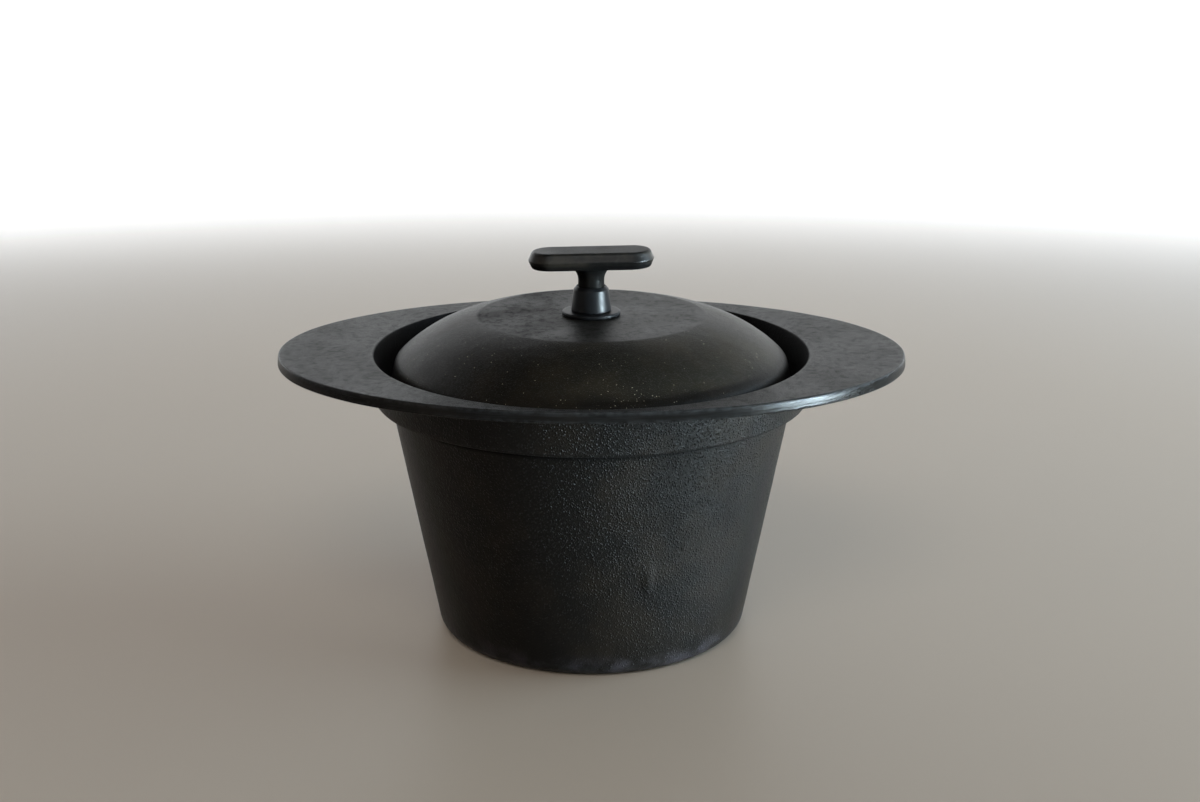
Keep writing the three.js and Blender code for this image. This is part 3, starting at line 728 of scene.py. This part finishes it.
def makeHandle(p, finish):
    foot, ease, bevel = p["underside"], p["easing"], p["bevel"]
    widest = foot + p["lower"]
    top = widest + p["band"] + p["upper"]
    levels = [
        (bevel + ease, foot), (bevel - ease / 2, foot + ease / 2), (ease / 2, widest),
        (0, widest + p["band"] / 2),
        (ease / 2, widest + p["band"]), (bevel - ease / 2, top - ease), (bevel + ease, top),
    ]
    grip = lofted("handle_casting", [gripRing(p, inset, z) for inset, z in levels])
    neck, edge = p["neck"], p["neckEdge"]
    neckRings = [ovalRing(neck - edge, neck - edge, p["foot"]), ovalRing(neck, neck, p["foot"] + edge)]
    for angle in np.linspace(0, math.pi / 2, 13):
        swell, z = 1 - math.cos(angle), foot - p["flareHeight"] * (1 - math.sin(angle))
        neckRings.append(ovalRing(neck + p["flareAlong"] * swell, neck + p["flareAcross"] * swell, z))
    neckRings.append([(x, y, foot + p["lower"] / 2) for x, y, _ in neckRings[-1]])
    neckTool = lofted("neckTool", neckRings)
    drillEnds = (p["foot"] - p["drillRun"], p["boreTop"])
    drillTool = lofted("drillTool", [ovalRing(p["bore"], p["bore"], z, 48) for z in drillEnds])
    for tool, operation in ((neckTool, "UNION"), (drillTool, "DIFFERENCE")):
        cut = grip.modifiers.new(operation.lower(), "BOOLEAN")
        cut.operation, cut.object, cut.solver = operation, tool, "EXACT"
    remesh = grip.modifiers.new("skin", "REMESH")
    remesh.mode, remesh.voxel_size = "VOXEL", p["voxel"] * mm
    soften = grip.modifiers.new("soften", "SMOOTH")
    soften.factor, soften.iterations = 0.5, p["smoothing"]
    plainMesh(grip, "handle_casting")
    grip.data.materials.clear()
    grip.data.materials.append(finish)
    for tool in (neckTool, drillTool):
        bpy.data.objects.remove(tool)
    print("handle", len(grip.data.polygons), "faces")
    return grip


handlePiece = makeHandle(handle, handleCasting("handleCastingSkin", handleLook))
put(handlePiece, "t_handle", "lid")


# Floor, light and camera

studio = {
    "floorRadius": 1.25, "bend": 0.3, "wallTop": 1.5, "glowTop": 0.85, "glowFade": 0.06, "facets": 96,
    "shadedFloorTone": (0.54, 0.45, 0.36, 1), "farTone": (0.72, 0.68, 0.64, 1), "floorRoughness": 0.48,
    "floorShine": 0.3, "wallTone": (0.62, 0.62, 0.62, 1), "wallGlow": (1.26, 1.28, 1.29, 1),
    "airTone": (0.90, 0.88, 0.86, 1), "air": 0.03, "drop": 0.0002,
}


def roundStudio(p):  # a floor that bends up into a wall all round, bright behind the pot
    path = [(0.001, 0.0), (0.3, 0.0), (0.7, 0.0)] + [
        (p["floorRadius"] + p["bend"] * math.sin(a), p["bend"] * (1 - math.cos(a)))
        for a in np.linspace(0, math.pi / 2, 10)]
    path += [(p["floorRadius"] + p["bend"], z) for z in (p["glowTop"], p["wallTop"])]
    count = p["facets"]
    angles = np.arange(count) * 2 * math.pi / count
    verts = [(r * math.cos(a), r * math.sin(a), z - p["drop"]) for r, z in path for a in angles]
    faces = [tuple(range(count))]
    for ring in range(len(path) - 1):
        for i in range(count):
            low, on = ring * count + i, ring * count + (i + 1) % count
            faces.append((low, low + count, on + count, on))
    mesh = bpy.data.meshes.new("roundStudio")
    mesh.from_pydata(verts, [], faces)
    mesh.shade_smooth()
    floor = bpy.data.objects.new("roundStudio", mesh)
    scene.collection.objects.link(floor)
    material, board = newFinish("paleStudio")
    place, spot = ownPlace(board)
    wall = board.rise(spot.also("Z"), 0.0, 0.16)
    far = board.vector("LENGTH", place, (0, 0, 0), "Value")
    behind = board.rise(spot.also("Y"), 0.45, 1.05) * board.rise(far, 0.6, 1.6)
    behind = behind * board.rise(spot.also("Z"), p["glowTop"] + p["glowFade"], p["glowTop"] - p["glowFade"])
    # painted shade: the floor is darker near the pot and paler further out
    colour = board.blend(board.rise(far, 0.38, 1.15), p["shadedFloorTone"], p["farTone"])
    colour = board.blend(wall, colour, p["wallTone"])
    glow = board.blend(behind, (0, 0, 0, 1), p["wallGlow"])
    fleck = noise(board, place, 30.0, 3.0)
    lit = {"Emission Color": glow, "Emission Strength": 1.0, "Specular IOR Level": p["floorShine"]}
    normal = bump(board, fleck, 0.0005, 0.1)
    show(board, surface(board, colour, p["floorRoughness"] + wall * 0.4, normal, **lit))
    mesh.materials.append(material)
    return floor


def lamp(name, place, aim, size, power, tone, spread=180.0, spared=None):
    data = bpy.data.lights.new(name, "AREA")
    data.shape = "RECTANGLE"
    data.size, data.size_y = size
    data.energy, data.color = power, tone
    data.spread = math.radians(spread)
    light = bpy.data.objects.new(name, data)
    scene.collection.objects.link(light)
    light.location = place
    light.visible_camera = False  # other views look towards the lamps
    back = np.array(place) - np.array(aim)
    light.rotation_euler = (math.acos(back[2] / np.linalg.norm(back)), 0, math.atan2(back[0], -back[1]))
    if spared:  # this lamp leaves the floor alone, so that no bright pool lies beside the pot
        links = bpy.data.collections.new(name + "Links")
        links.objects.link(spared)
        links.collection_objects[0].light_linking.link_state = "EXCLUDE"
        light.light_linking.receiver_collection = links


floor = roundStudio(studio)
lamp("sideWindow", place=(1.20, 0.02, 0.64), aim=(0, 0, 0.64), size=(1.1, 0.65), power=12.0,
     tone=(0.64, 0.83, 1.0))
lamp("lowWindow", place=(1.12, -0.44, 0.105), aim=(0, 0, 0.105), size=(0.45, 0.15), power=2.05,
     tone=(0.72, 0.90, 1.0), spread=24.0, spared=floor)
lamp("warmFill", place=(-1.05, -0.65, 0.5), aim=(0, 0, 0.06), size=(0.7, 0.7), power=0.8,
     tone=(1.0, 0.78, 0.56))
lamp("frontFill", place=(-0.10, -1.05, 1.20), aim=(0, 0, 0.13), size=(0.8, 0.5), power=4.6,
     tone=(1.0, 0.97, 0.93))
print("studio lit")

world = bpy.data.worlds.new("studioAir")
world.use_nodes = True
air = Board(world.node_tree)
haze = air.node("ShaderNodeBackground", None, {"Color": studio["airTone"], "Strength": studio["air"]})
air.node("ShaderNodeOutputWorld", None, {"Surface": haze})
scene.world = world
scene.view_settings.view_transform = "Standard"

view = {"place": (0.01214, -0.6472, 0.2819), "tilt": 73.667, "turn": 0.765, "lens": 50.0, "sensor": 36.0}
cameraData = bpy.data.cameras.new("camera")
cameraData.lens, cameraData.sensor_width, cameraData.sensor_fit = view["lens"], view["sensor"], "HORIZONTAL"
cameraData.clip_start = 0.02
camera = bpy.data.objects.new("camera", cameraData)
scene.collection.objects.link(camera)
camera.location = view["place"]
camera.rotation_euler = (math.radians(view["tilt"]), 0, math.radians(view["turn"]))
scene.camera = camera
